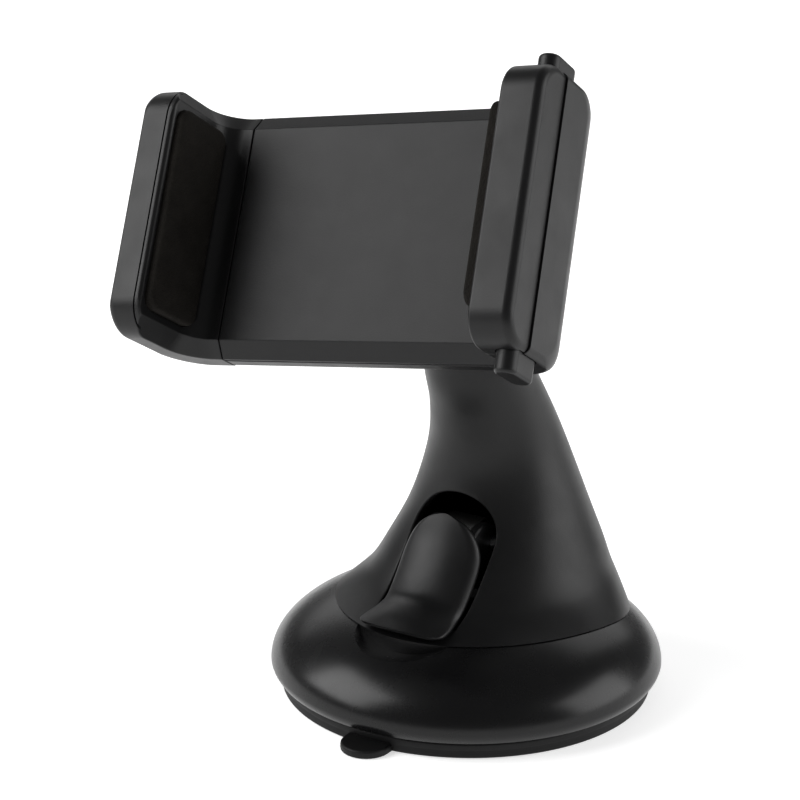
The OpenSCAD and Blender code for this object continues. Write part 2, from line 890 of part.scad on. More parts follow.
// One rail with its ratchet teeth towards the middle and a stop lug at its end
module rail() {
    teeth = [for (i = [0:18]) let (u = 6 + i * tooth_pitch) each [[u, rail_in], [u + 0.3, rail_in - tooth_h],
        [u + tooth_pitch - 0.2, rail_in]]];
    translate([0, 0, rail_w[0]])
        linear_extrude(rail_w[1] - rail_w[0])
            polygon(concat([[-2, rail_in]], teeth, [[rail_end, rail_in], [rail_end, rail_out + 1.2],
                [rail_end - 3.6, rail_out + 1.2], [rail_end - 3.6, rail_out], [-2, rail_out]]));
}

module arm_spring() {
    color(steel)
    on_cradle()
    translate([5.2, 0, -4.2])
        rotate([0, 90, 0])
            coil(1.2, 0.3, rail_end - 3.05 - 5.2, 24, 8, 5);
}

// ---------- release buttons ----------

module release_slider() {
    riser_v = [19, half_jaw - 2];
    translate([button_u, half_jaw - 3, button_w])
        button_block(button_end - half_jaw + 3 - 1, 0);
    translate([button_u, button_end - 1 - eps, button_w])
        button_block(1, -0.4);
    block([slider_u[0], finger_v[0], finger_w[0]], [slider_u[1], riser_v[1] - 1, slider_w]);
    block([slider_u[0], riser_v[0], slider_w - lap], [slider_u[1] + lap, riser_v[1], 8]);
    block([finger_tip_u, finger_v[0], finger_w[0]], [slider_u[1], finger_v[1], finger_w[1]]);
    translate([0, 0, finger_w[0]])
        linear_extrude(1.2)
            polygon([[finger_tip_u, finger_v[1] - eps], [finger_tip_u + 0.4, pawl_v],
                [finger_tip_u + 1.2, pawl_v],
                [finger_tip_u + 3, finger_v[1] - eps]]);
}

module release_slider_upper() {
    color(gloss_black)
        on_cradle()
            release_slider();
}

module release_slider_lower() {
    color(gloss_black)
        on_cradle()
            mirrored(-1)
                release_slider();
}

module release_springs() {
    color(steel)
    on_cradle()
    for (s = [-1, 1])
        mirrored(s)
            translate([(slider_u[0] + slider_u[1]) / 2, 1.52, 0])
                rotate([-90, 0, 0])
                    coil(1.2, 0.3, finger_v[0] - 1.54, 5, 10, 5);
}

suction_cup();
base_ring();
base_plate();
base_screws();
neck_shell();
pull_stem();
lever_pin();
cup_spring();
lock_lever();
ball_stud();
stud_circlip();
socket_liner();
ball_socket();
socket_screws();
ball_nut();
rear_housing();
front_plate();
housing_screws();
right_jaw_cap();
jaw_screws();
right_pad();
left_arm();
left_pad();
arm_spring();
release_slider_upper();
release_slider_lower();
release_springs();
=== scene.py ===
import json
import math

import bmesh
import bpy
from mathutils import Matrix, Vector, geometry


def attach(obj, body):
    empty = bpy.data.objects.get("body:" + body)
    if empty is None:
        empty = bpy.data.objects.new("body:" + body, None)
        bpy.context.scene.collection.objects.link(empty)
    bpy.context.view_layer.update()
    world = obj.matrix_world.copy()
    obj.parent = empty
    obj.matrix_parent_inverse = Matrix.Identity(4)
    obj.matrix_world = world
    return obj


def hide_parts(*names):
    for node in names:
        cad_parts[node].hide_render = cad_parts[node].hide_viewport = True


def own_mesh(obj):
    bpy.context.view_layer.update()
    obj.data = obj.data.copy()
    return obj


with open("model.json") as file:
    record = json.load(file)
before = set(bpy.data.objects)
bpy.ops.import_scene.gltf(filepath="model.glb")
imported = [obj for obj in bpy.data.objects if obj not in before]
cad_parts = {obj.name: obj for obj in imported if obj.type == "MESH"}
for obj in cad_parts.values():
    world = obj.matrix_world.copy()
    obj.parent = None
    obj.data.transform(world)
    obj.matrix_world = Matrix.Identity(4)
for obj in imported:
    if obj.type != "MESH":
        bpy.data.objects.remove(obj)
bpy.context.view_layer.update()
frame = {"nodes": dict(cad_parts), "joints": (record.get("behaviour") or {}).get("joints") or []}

# Pieces are built in millimetres in a local frame and placed in the row frame, in metres.
MM = 0.001
joints = {j["name"]: j for j in frame["joints"]}

# ---------- frames ----------

# ALONG, UP and OUT are the cradle's axes: towards the right jaw, up the plate and out of its face.
# BALL_U and BALL_DEPTH place the ball from the plate's left end and behind the plate's face.
BALL = Vector(joints["ball_pan"]["pos_m"]) / MM
ALONG = -Vector(joints["arm_slide"]["axis"])
UP = -Vector(joints["upper_button_press"]["axis"])
OUT = Vector(joints["cradle_spin"]["axis"])
STUD = Vector(joints["ball_pan"]["axis"])
PIVOT_Z = joints["lever_turn"]["pos_m"][2] / MM
BALL_U = 33.4
BALL_DEPTH = 20.0


def axes(x, y, z, origin):
    """Matrix from a local frame in millimetres to the row frame in metres."""
    m = Matrix((x, y, z)).transposed().to_4x4()
    m.translation = origin
    return Matrix.Scale(MM, 4) @ m


CRADLE = axes(ALONG, UP, OUT, BALL - BALL_U * ALONG + BALL_DEPTH * OUT)
SOCKET = axes(ALONG, UP, OUT, BALL)
TABLE = Matrix.Scale(MM, 4)


def span(node, matrix=TABLE):
    """Lowest and highest corners of a CAD node in a local frame, in millimetres."""
    back = matrix.inverted()
    points = [back @ v.co for v in frame["nodes"][node].data.vertices]
    return [Vector(f(p[i] for p in points) for i in range(3)) for f in (min, max)]


# ---------- outlines ----------

SQUARE = [(-1, -1), (1, -1), (1, 1), (-1, 1)]


def rounded(corners, n=5):
    """Closed outline through corners (x, y, radius), each rounded by an arc of n steps."""
    out = []
    count = len(corners)
    for i, (x, y, r) in enumerate(corners):
        p = Vector((x, y))
        a = (Vector(corners[i - 1][:2]) - p).normalized()
        b = (Vector(corners[(i + 1) % count][:2]) - p).normalized()
        half = a.angle(b) / 2
        centre = p + (a + b).normalized() * (r / math.sin(half))
        start = p + a * (r / math.tan(half)) - centre
        end = p + b * (r / math.tan(half)) - centre
        turn = math.atan2(start.cross(end), start.dot(end))
        for k in range(n + 1):
            out.append(centre + Matrix.Rotation(turn * k / n, 2) @ start)
    return out


def inset(corners, d, firm=()):
    """Moves each side of a counter-clockwise outline inwards by d. Sides in firm stay."""
    count = len(corners)
    out = []
    for i, (x, y, r) in enumerate(corners):
        p = Vector((x, y))
        e0 = (p - Vector(corners[i - 1][:2])).normalized()
        e1 = (Vector(corners[(i + 1) % count][:2]) - p).normalized()
        d0 = 0 if (i - 1) % count in firm else d
        d1 = 0 if i in firm else d
        turn = e0.cross(e1)
        move = (e1 * d0 - e0 * d1) / turn if abs(turn) > 1e-6 else Vector((-e0.y, e0.x)) * d0
        q = p + move
        out.append((q.x, q.y, max(r - math.copysign(max(d0, d1), turn), 0.03)))
    return out


def disc(r, n):
    """A circle of n points."""
    return [Vector((r * math.cos(2 * math.pi * i / n), r * math.sin(2 * math.pi * i / n)))
            for i in range(n)]


def quarter(e, steps=4):
    """(inset, rise) pairs of a rounded edge, from its face to its side."""
    return [(e * (1 - math.sin(math.pi / 2 * k / steps)), e * (1 - math.cos(math.pi / 2 * k / steps)))
            for k in range(steps + 1)]


def prism(corners, z0, z1, e0=0.15, e1=0.15, n=5, steps=4, firm=(), crown=0.0):
    """Rings of a prism with rounded ends; crown lets the far end bulge over its outer 5 mm."""
    rings = [(d, z0 + z) for d, z in quarter(e0, steps)]
    rings += [(d, z1 - z) for d, z in reversed(quarter(e1, steps))]
    if crown:
        rings += [(e1 + k, z1 + crown * (1 - (1 - k / 5) ** 2)) for k in range(1, 6)]
    return [[(p.x, p.y, z) for p in rounded(inset(corners, d, firm), n)] for d, z in rings]


def along_u(rings):
    return [[(z, x, y) for x, y, z in r] for r in rings]


def along_v(rings):
    return [[(x, z, y) for x, y, z in r] for r in rings]


def revolve(profile, n=96):
    """Rings around z from (radius, height) pairs."""
    return [[(p.x, p.y, z) for p in disc(r, n)] for r, z in profile]


# ---------- meshes ----------

def shell(rings, closed=False):
    """Vertices and faces of a skin through rings of equal length, with its ends capped."""
    n = len(rings[0])
    verts = [Vector(p) for r in rings for p in r]
    faces = []
    last = len(rings) if closed else len(rings) - 1
    for j in range(last):
        a, b = j * n, (j + 1) % len(rings) * n
        faces += [(a + i, a + (i + 1) % n, b + (i + 1) % n, b + i) for i in range(n)]
    if not closed:
        faces.append(tuple(reversed(range(n))))
        faces.append(tuple(range(len(verts) - n, len(verts))))
    return verts, faces


def thing(name, *shells):
    """A mesh object, still in its local frame, from one or more skins."""
    bm = bmesh.new()
    for verts, faces in shells:
        made = [bm.verts.new(v) for v in verts]
        for f in faces:
            bm.faces.new([made[i] for i in f])
    bmesh.ops.remove_doubles(bm, verts=bm.verts, dist=1e-4)
    bmesh.ops.dissolve_degenerate(bm, edges=bm.edges, dist=1e-4)
    bmesh.ops.recalc_face_normals(bm, faces=bm.faces)
    mesh = bpy.data.meshes.new(name)
    bm.to_mesh(mesh)
    bm.free()
    obj = bpy.data.objects.new(name, mesh)
    bpy.context.scene.collection.objects.link(obj)
    return obj


def combine(obj, tool, operation="DIFFERENCE"):
    """Cuts, joins or intersects obj with tool, which is used up."""
    m = obj.modifiers.new("shape", "BOOLEAN")
    m.operation = operation
    m.solver = "EXACT"
    m.object = tool
    graph = bpy.context.evaluated_depsgraph_get()
    mesh = bpy.data.meshes.new_from_object(obj.evaluated_get(graph))
    obj.modifiers.clear()
    obj.data = mesh
    bpy.data.objects.remove(tool)
    return obj


def cut(obj, *shells):
    for s in shells:
        combine(obj, thing("tool", s))
    return obj


def add(obj, *shells):
    for s in shells:
        combine(obj, thing("tool", s), "UNION")
    return obj


def block(u, v, w, r=0.12):
    """A box between ranges along the three local axes."""
    corners = [(u[0], v[0], r), (u[1], v[0], r), (u[1], v[1], r), (u[0], v[1], r)]
    return shell(prism(corners, w[0], w[1], r, r, 2, 2))


def finish_piece(obj, matrix, body, slot, nodes=(), sharp=32):
    """Places a piece, smooths its shading, gives it its slot's material, hangs it on its body and hides the
    CAD nodes it stands for.
    """
    obj.data.transform(matrix)
    if matrix.determinant() < 0:
        obj.data.flip_normals()
    obj.data.polygons.foreach_set("use_smooth", [True] * len(obj.data.polygons))
    obj.data.set_sharp_from_angle(angle=math.radians(sharp))
    m = obj.modifiers.new("flat faces stay flat", "WEIGHTED_NORMAL")
    m.keep_sharp = True
    obj.data.materials.clear()
    obj.data.materials.append(MATERIAL[slot])
    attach(obj, body)
    if nodes:
        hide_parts(*nodes)
    return obj


# ---------- materials ----------

def new_material(name, colour, roughness, specular=0.5, metallic=0.0):
    m = bpy.data.materials.new(name)
    m.use_nodes = True
    shader = m.node_tree.nodes["Principled BSDF"]
    shader.inputs["Base Color"].default_value = (*colour, 1)
    shader.inputs["Roughness"].default_value = roughness
    shader.inputs["Specular IOR Level"].default_value = specular
    shader.inputs["Metallic"].default_value = metallic
    return m, m.node_tree, shader


def noise(tree, scale, detail=4.0, roughness=0.6):
    """Noise in object coordinates; scale is in features per metre."""
    at = tree.nodes.get("Object") or tree.nodes.new("ShaderNodeTexCoord")
    at.name = "Object"
    n = tree.nodes.new("ShaderNodeTexNoise")
    n.inputs["Scale"].default_value = scale
    n.inputs["Detail"].default_value = detail
    n.inputs["Roughness"].default_value = roughness
    tree.links.new(at.outputs["Object"], n.inputs["Vector"])
    return n.outputs["Fac"]


def spread(tree, value, low, high, start=0.3, stop=0.7):
    """Maps a texture's middle range to a range of numbers."""
    n = tree.nodes.new("ShaderNodeMapRange")
    n.inputs["From Min"].default_value = start
    n.inputs["From Max"].default_value = stop
    n.inputs["To Min"].default_value = low
    n.inputs["To Max"].default_value = high
    tree.links.new(value, n.inputs["Value"])
    return n.outputs["Result"]


def tint(tree, value, dark, light):
    """Mixes two colours by a value."""
    n = tree.nodes.new("ShaderNodeMix")
    n.data_type = "RGBA"
    n.inputs["A"].default_value = (*dark, 1)
    n.inputs["B"].default_value = (*light, 1)
    tree.links.new(value, n.inputs["Factor"])
    return n.outputs["Result"]


def bump(tree, shader, height, distance, strength=1.0):
    n = tree.nodes.new("ShaderNodeBump")
    n.inputs["Distance"].default_value = distance
    n.inputs["Strength"].default_value = strength
    tree.links.new(height, n.inputs["Height"])
    previous = shader.inputs["Normal"].links
    if previous:
        tree.links.new(previous[0].from_socket, n.inputs["Normal"])
    tree.links.new(n.outputs["Normal"], shader.inputs["Normal"])


def plastic(name, dark, light, rough, grain, grain_depth, specular):
    """Moulded plastic: faint cloudy colour, uneven polish, a fine spark-eroded grain and the
    slight waviness of a moulded wall."""
    cloud_scale, polish_scale, wave_scale, wave_depth = 45, 160, 70, 0.00002
    m, tree, shader = new_material(name, dark, rough[0], specular)
    cloud = noise(tree, cloud_scale, 3)
    tree.links.new(tint(tree, spread(tree, cloud, 0, 1), dark, light), shader.inputs["Base Color"])
    polish = noise(tree, polish_scale, 5)
    tree.links.new(spread(tree, polish, *rough), shader.inputs["Roughness"])
    bump(tree, shader, noise(tree, grain, 2), grain_depth)
    bump(tree, shader, noise(tree, wave_scale, 1), wave_depth, 0.5)
    return m


def foam(name):
    """Closed-cell foam: a skin of small cells with a brownish cast."""
    dark, light = (0.0092, 0.0084, 0.0074), (0.0165, 0.015, 0.0132)
    cell_scale, cell_depth = 2600, 0.00012
    m, tree, shader = new_material(name, (0.006, 0.005, 0.0045), 0.85, 0.06)
    cells = tree.nodes.new("ShaderNodeTexVoronoi")
    cells.inputs["Scale"].default_value = cell_scale
    at = tree.nodes.new("ShaderNodeTexCoord")
    at.name = "Object"
    tree.links.new(at.outputs["Object"], cells.inputs["Vector"])
    cloud = noise(tree, 260, 5, 0.7)
    tree.links.new(tint(tree, spread(tree, cloud, 0, 1), dark, light), shader.inputs["Base Color"])
    tree.links.new(spread(tree, cloud, 0.75, 0.95), shader.inputs["Roughness"])
    bump(tree, shader, cells.outputs["Distance"], cell_depth, 0.8)
    bump(tree, shader, cloud, 0.0001, 0.6)
    return m


def metal(name, colour):
    """Zinc-plated steel: fine crystalline mottling and drawn lines."""
    m, tree, shader = new_material(name, colour, 0.3, 0.5, 1.0)
    spots = noise(tree, 900, 5, 0.7)
    tree.links.new(tint(tree, spread(tree, spots, 0, 1), tuple(c * 0.8 for c in colour), colour),
                   shader.inputs["Base Color"])
    tree.links.new(spread(tree, spots, 0.24, 0.42), shader.inputs["Roughness"])
    bump(tree, shader, spots, 0.00002, 0.6)
    return m


# Plastics as dark and light colour, roughness range, grain per metre, grain depth and specular level
PLASTICS = {
    "satin_black": ((0.0042, 0.0042, 0.0045), (0.0062, 0.0062, 0.0065), (0.36, 0.44), 3800, 0.000016, 0.28),
    "gloss_black": ((0.0028, 0.0028, 0.003), (0.004, 0.004, 0.0043), (0.25, 0.29), 900, 0.0000015, 0.3),
    "soft_touch": ((0.0048, 0.0048, 0.0052), (0.0068, 0.0068, 0.0072), (0.45, 0.48), 3000, 0.00002, 0.28),
    "rubber": ((0.004, 0.004, 0.0043), (0.0065, 0.0065, 0.0068), (0.48, 0.58), 1500, 0.00002, 0.22),
    "nylon": ((0.004, 0.004, 0.0038), (0.007, 0.007, 0.0066), (0.35, 0.5), 1500, 0.00001, 0.3),
}
MATERIAL = {name: plastic(name, *look) for name, look in PLASTICS.items()}
MATERIAL["foam"] = foam("foam")
MATERIAL["steel"] = metal("steel", (0.62, 0.63, 0.65))

# ---------- base ----------

RING = span("base_ring")
RING_R = RING[1].x
RING_CORE_R = 5.0
RING_BELT_Z = 5.4
RING_CROWN = 15.7
RING_MOUTH_R = 22.0
RING_LIP_Z = RING[0].z
SCOOP_R = 22.0
SCOOP_AT = Vector((0, -27, 37))
SCOOP_BACK = 26.0


def crown_z(r):
    """Height of the base ring's crown at a distance from the axis."""
    return RING_BELT_Z + RING_CROWN * math.sqrt(max(0, 1 - ((r - RING_CORE_R) / (RING_R - RING_CORE_R)) ** 2))


def ellipse(cx, cy, a, b, a0, a1, n):
    """Points of an elliptic arc between two angles in degrees."""
    step = math.radians(a1 - a0) / n
    return [(cx + a * math.cos(math.radians(a0) + step * i), cy + b * math.sin(math.radians(a0) + step * i))
            for i in range(n + 1)]


def base_ring():
    """The trim ring around the base, with a finger scoop under the lever's lip."""
    half = RING_R - RING_CORE_R
    inner_a, inner_b = half - 2.5, RING_CROWN - 4.5
    top = math.degrees(math.acos((RING_MOUTH_R - RING_CORE_R) / half))
    under = math.degrees(math.acos((RING_MOUTH_R - RING_CORE_R) / inner_a))
    low = RING_LIP_Z
    profile = ellipse(RING_CORE_R, RING_BELT_Z, half, RING_CROWN, 0, top, 44)
    profile += ellipse(RING_CORE_R, RING_BELT_Z, inner_a, inner_b, under, 0, 14)
    profile += [(RING_R - 3.4, low + 0.1), (RING_R - 3.3, low)]
    profile += ellipse(RING_R - 1.5, low + 0.6, 0.9, 0.6, -90, -35, 5) + [(RING_R - 0.25, RING_BELT_Z - 0.75)]
    ring = thing("base_ring_skin", shell(revolve(profile, 256), closed=True))
    ball = shell(revolve([(SCOOP_R * math.cos(a), SCOOP_AT.z + SCOOP_R * math.sin(a))
                          for a in [math.radians(-89.5 + 2.3 * k) for k in range(40)]], 128))
    scoop = thing("tool", ([v + Vector((0, SCOOP_AT.y, 0)) for v in ball[0]], ball[1]))
    cut(scoop, shell(revolve([(SCOOP_BACK, 0), (SCOOP_BACK, 60)], 160)))
    combine(ring, scoop)
    return finish_piece(ring, TABLE, "base", "gloss_black", ["base_ring"], 25)


CUP = span("suction_cup")
CUP_R = CUP[1].x
CUP_RIM = 3.2
CUP_FLAT_R = 30.0
CUP_DOME = 2.6
TAB_REACH = -CUP[0].y
TAB_W = 10.0
TAB_X = 1.2
TAB_H = 1.6


def suction_cup():
    """The rim and its pull tab; the dome in the middle is a piece of its own, because it rises."""
    profile = [(CUP_R - 0.5, 0)] + [(CUP_R - 0.5 + 0.5 * math.sin(a), 0.5 - 0.5 * math.cos(a))
                                    for a in [math.radians(15 * k) for k in range(1, 7)]]
    profile += [(CUP_R - 0.12, 1.5), (CUP_R - 0.12, 1.7), (CUP_R, 1.9)]
    profile += [(CUP_R - 0.6 + 0.6 * math.cos(a), CUP_RIM - 0.6 + 0.6 * math.sin(a))
                for a in [math.radians(15 * k) for k in range(7)]]
    profile += [(CUP_FLAT_R - 2, CUP_RIM), (CUP_FLAT_R - 2, CUP_DOME * 0.16 + 0.3), (CUP_FLAT_R, 0.05),
                (CUP_FLAT_R + 1.2, 0)]
    rim = thing("suction_cup_rim", shell(revolve(profile, 192), closed=True))
    r = TAB_W / 2
    corners = [(TAB_X - r, -TAB_REACH, r - 0.1), (TAB_X + r, -TAB_REACH, r - 0.1),
               (TAB_X + r, -CUP_R + 2, 0.1), (TAB_X - r, -CUP_R + 2, 0.1)]
    add(rim, shell(prism(corners, 0.02, TAB_H, 0.3, 0.5, 8)))
    return finish_piece(rim, TABLE, "base", "rubber", ["suction_cup"], 35)


def cup_dome():
    """The elastic middle of the cup, which the stem pulls up and lets down; this piece is built in one
    resting shape.
    """
    r = CUP_FLAT_R - 2.05
    under = [(r * k / 10, CUP_DOME * (1 - (r * k / 10 / CUP_FLAT_R) ** 2)) for k in range(10, 0, -1)]
    top = CUP[1].z
    over = [(0.5, top), (12, top), (13.2, top - 0.25), (15, CUP_RIM + 0.1), (20, CUP_RIM - 0.2),
            (r - 0.6, CUP_RIM - 0.4), (r, CUP_RIM - 0.9)]
    dome = thing("suction_cup_dome", shell(revolve(over + under, 128)))
    finish_piece(dome, TABLE, "base", "rubber", (), 40)
    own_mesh(dome)


# ---------- neck ----------

# Each station is a tilted oval: z, y, tilt, half width, front reach, back reach
HEAD_GAP = 13.0
HEAD = BALL - HEAD_GAP * STUD
HEAD_R = 6.0
HEAD_END = 34.9
HEAD_END_R = 6.4
LEAN = math.degrees(math.atan2(-STUD.y, STUD.z))
STATIONS = [
    (16.5, 8.3, 0, 29.9, 34.6, 28.2),
    (22, 10.7, 0, 25.2, 28.2, 24),
    (28, 12.1, 0, 22.1, 23.9, 21.4),
    (35, 12.9, 0, 18.8, 19.6, 18.5),
    (43, 12.2, 3, 15.9, 15.9, 15.9),
    (52, 10.1, 12, 13.2, 13.2, 13.2),
    (61, 6.1, 22, 11.2, 11.2, 11.2),
    (70, 1.2, 31, 9.9, 9.9, 9.9),
    (HEAD.z, HEAD.y, LEAN, HEAD_R, HEAD_R, HEAD_R),
]
FOOT_GAP = 0.22
NECK_WALL = 2.2
NECK_SIDES = 168
NECK_ROWS = 9
HOLLOW_TOP = 6
STUD_R = 4.0
POCKET_R = 9.5
POCKET_TOP = 41.4
POCKET_SILL = 18.62
POCKET_RIM = 0.45


def spline(p, t):
    """Catmull-Rom interpolation of a list of tuples."""
    n = len(p) - 1
    i = min(int(t), n - 1)
    f = t - i
    a, b, c, d = p[max(i - 1, 0)], p[i], p[i + 1], p[min(i + 2, n)]
    return [0.5 * (2 * q + (r - o) * f + (2 * o - 5 * q + 4 * r - s) * f * f
                   + (3 * q - o - 3 * r + s) * f ** 3) for o, q, r, s in zip(a, b, c, d)]


def oval(s, a, inward):
    """A point at angle a of a station's oval, moved inwards."""
    x = (s[3] - inward) * math.cos(a)
    y = math.sin(a) * ((s[4] if math.sin(a) < 0 else s[5]) - inward)
    tilt = math.radians(s[2])
    return Vector((x, s[1] + y * math.cos(tilt), s[0] + y * math.sin(tilt)))


def on_neck(t, a, inward):
    """A point of the neck's skin at station t and angle a; the foot follows the ring's crown."""
    p = oval(spline(STATIONS, t), a, inward)
    if t < 1:
        foot = oval(STATIONS[0], a, inward)
        p.z += (1 - t) ** 2 * (1 + t) * (crown_z(foot.xy.length) + FOOT_GAP - foot.z)
    return p


def find_on_neck(x, z, inward):
    """The station and angle of the front skin's point with this x and z."""
    t = 2.0
    for _ in range(40):
        a = 2 * math.pi - math.acos(max(-1, min(1, x / (spline(STATIONS, t)[3] - inward))))
        slope = (on_neck(min(t + 0.01, 8), a, inward).z - on_neck(t, a, inward).z) / 0.01
        t = min(7.9, max(0.0, t + (z - on_neck(t, a, inward).z) / max(slope, 1)))
    return t, a


def pocket_outline(grow, sill):
    """The pocket's outline in (x, z): an arch on straight sides."""
    r = POCKET_R + grow
    middle = POCKET_TOP - POCKET_R
    turns = [math.radians(180 * k / 36) for k in range(37)]
    out = [(r * math.cos(a), middle + r * math.sin(a)) for a in turns]
    rows = 14
    drop = middle - sill
    out += [(-r, middle - drop * k / rows) for k in range(1, rows)]
    out += [(-r + 2 * r * k / 20, sill) for k in range(21)]
    out += [(r, sill + drop * k / rows) for k in range(1, rows)]
    return out


def neck_skin(bm, inward, top, hole_loops):
    """One skin of the neck with the pocket's hole, as triangles between a grid and the hole's loops.
    Returns its vertices along the foot, the top and the hole."""
    scale = Vector((20, 8))
    rows = int(top * NECK_ROWS)
    start = math.pi / 2
    flat = []
    for j in range(rows + 1):
        for i in range(NECK_SIDES + 1):
            flat.append(Vector(((start + 2 * math.pi * i / NECK_SIDES) * scale.x, j / NECK_ROWS * scale.y)))
    loops = [[Vector((a * scale.x, t * scale.y)) for t, a in (find_on_neck(x, z, inward) for x, z in loop)]
             for loop in hole_loops]
    outer = loops[-1]
    keep, index = [], {}
    low = Vector((min(p.x for p in outer) - 1, min(p.y for p in outer) - 1))
    high = Vector((max(p.x for p in outer) + 1, max(p.y for p in outer) + 1))
    for k, p in enumerate(flat):
        edge = k < NECK_SIDES + 1
        if not edge and low.x < p.x < high.x and low.y < p.y < high.y:
            if inside(p, outer) or min((p - q).length for q in outer) < 0.45:
                continue
        index[k] = len(keep)
        keep.append(p)
    first = len(keep)
    edges = []
    for loop in loops:
        base = len(keep)
        keep += loop
        edges += [(base + i, base + (i + 1) % len(loop)) for i in range(len(loop))]
    got = geometry.delaunay_2d_cdt(keep, edges, [], 0, 1e-6)
    verts = []
    for p in got[0]:
        verts.append(bm.verts.new(on_neck(max(0.0, p.y / scale.y), p.x / scale.x, inward)))
    for f in got[2]:
        centre = sum((got[0][i] for i in f), Vector((0, 0))) / 3
        if not inside(centre, loops[0]):
            bm.faces.new([verts[i] for i in f])
    where = {}
    for out_index, sources in enumerate(got[3]):
        for s in sources:
            where[s] = verts[out_index]
    foot = [where[index[i]] for i in range(NECK_SIDES)]
    crest = [where[index[rows * (NECK_SIDES + 1) + i]] for i in range(NECK_SIDES)]
    hole = [where[first + i] for i in range(len(loops[0]))]
    return foot, crest, hole


def inside(p, loop):
    """Whether a point lies inside a closed outline."""
    hit = False
    for i in range(len(loop)):
        a, b = loop[i - 1], loop[i]
        if (a.y > p.y) != (b.y > p.y) and p.x < (b.x - a.x) * (p.y - a.y) / (b.y - a.y) + a.x:
            hit = not hit
    return hit


def bridge(bm, rings):
    """Quads between rings of vertices of equal length."""
    for a, b in zip(rings, rings[1:]):
        for i in range(len(a)):
            k = (i + 1) % len(a)
            bm.faces.new((a[i], a[k], b[k], b[i]))


def ring_verts(bm, points):
    return [bm.verts.new(p) for p in points]


def head_ring(r, s):
    """A circle around the stud's axis at a distance s below the ball, starting at the back."""
    side = STUD.cross(Vector((1, 0, 0)))
    centre = BALL - s * STUD
    return [centre + r * (math.cos(a) * Vector((1, 0, 0)) + math.sin(a) * side)
            for a in [math.pi / 2 + 2 * math.pi * i / NECK_SIDES for i in range(NECK_SIDES)]]


def neck_shell():
    """The hollow neck: two skins joined round the foot, the head and the pocket's rolled rim."""
    bm = bmesh.new()
    sill_low = POCKET_SILL - 0.1
    loops = [pocket_outline(POCKET_RIM, sill_low), pocket_outline(POCKET_RIM + 0.9, sill_low - 0.12)]
    foot, crest, hole = neck_skin(bm, 0, len(STATIONS) - 1, loops)
    inner_sill = POCKET_SILL + 0.75
    inner_loops = [pocket_outline(0, inner_sill), pocket_outline(0.9, inner_sill - 0.12)]
    foot_in, crest_in, hole_in = neck_skin(bm, NECK_WALL, HOLLOW_TOP, inner_loops)
    rim = [hole]
    surface = [v.co.copy() for v in hole]
    for k in range(1, 6):
        turn = math.radians(90 * k / 5)
        outline = pocket_outline(POCKET_RIM * (1 - math.sin(turn)), sill_low + 0.1 * math.sin(turn))
        rim.append(ring_verts(bm, [Vector((x, p.y + POCKET_RIM * (1 - math.cos(turn)), z))
                                   for (x, z), p in zip(outline, surface)]))
    bridge(bm, rim + [hole_in])
    bridge(bm, [foot, foot_in])
    edge = 0.8
    top = [crest]
    for k in range(1, 5):
        turn = math.radians(90 * k / 4)
        top.append(ring_verts(bm, head_ring(HEAD_R - edge * math.sin(turn),
                                            HEAD_GAP - edge * (1 - math.cos(turn)) - 0.02)))
    for radius, below in [(STUD_R + 0.35, HEAD_GAP - edge - 0.02), (STUD_R + 0.1, HEAD_GAP - edge + 0.25),
                          (STUD_R + 0.1, HEAD_END), (HEAD_END_R, HEAD_END)]:
        top.append(ring_verts(bm, head_ring(radius, below)))
    bridge(bm, top + [crest_in])
    bmesh.ops.remove_doubles(bm, verts=bm.verts, dist=1e-3)
    bmesh.ops.recalc_face_normals(bm, faces=bm.faces)
    mesh = bpy.data.meshes.new("neck_skin")
    bm.to_mesh(mesh)
    bm.free()
    obj = bpy.data.objects.new("neck_skin", mesh)
    bpy.context.scene.collection.objects.link(obj)
    return finish_piece(obj, TABLE, "base", "satin_black", ["neck_shell"], 30)


# ---------- lever ----------

# Side view of the lever's face as (y, z): along its middle and along its edges
LEVER_MIDDLE = [(-6.6, 40.5), (-8.6, 38.2), (-11.4, 33.0), (-14.3, 28.9), (-16.8, 25.7),
                (-18.9, 24.0), (-21.8, 23.5), (-25.2, 22.4), (-28.0, 20.7)]
LEVER_EDGE = [(-6.0, 40.2), (-7.2, 37.6), (-9.3, 32.1), (-12.0, 27.8), (-14.8, 24.2),
              (-17.2, 21.9), (-20.2, 20.9), (-23.6, 20.3), (-26.2, 20.0)]
LEVER_THICK = [1.6, 2.0, 2.3, 2.3, 2.2, 2.0, 1.6, 1.2, 0.85]
LEVER_HALF = 8.8
LEVER_ARCH_Z = 38.5 - LEVER_HALF
LIP_FLARE = 0.7
CHEEK_IN = 4.3
CHEEK_OUT = 6.4
PIN_HOLE_R = 1.55
CAM_PROUD = 0.06
CAM_R = 6.0
CAM_Y = -3.486
CAM_Z = PIVOT_Z - 1.2


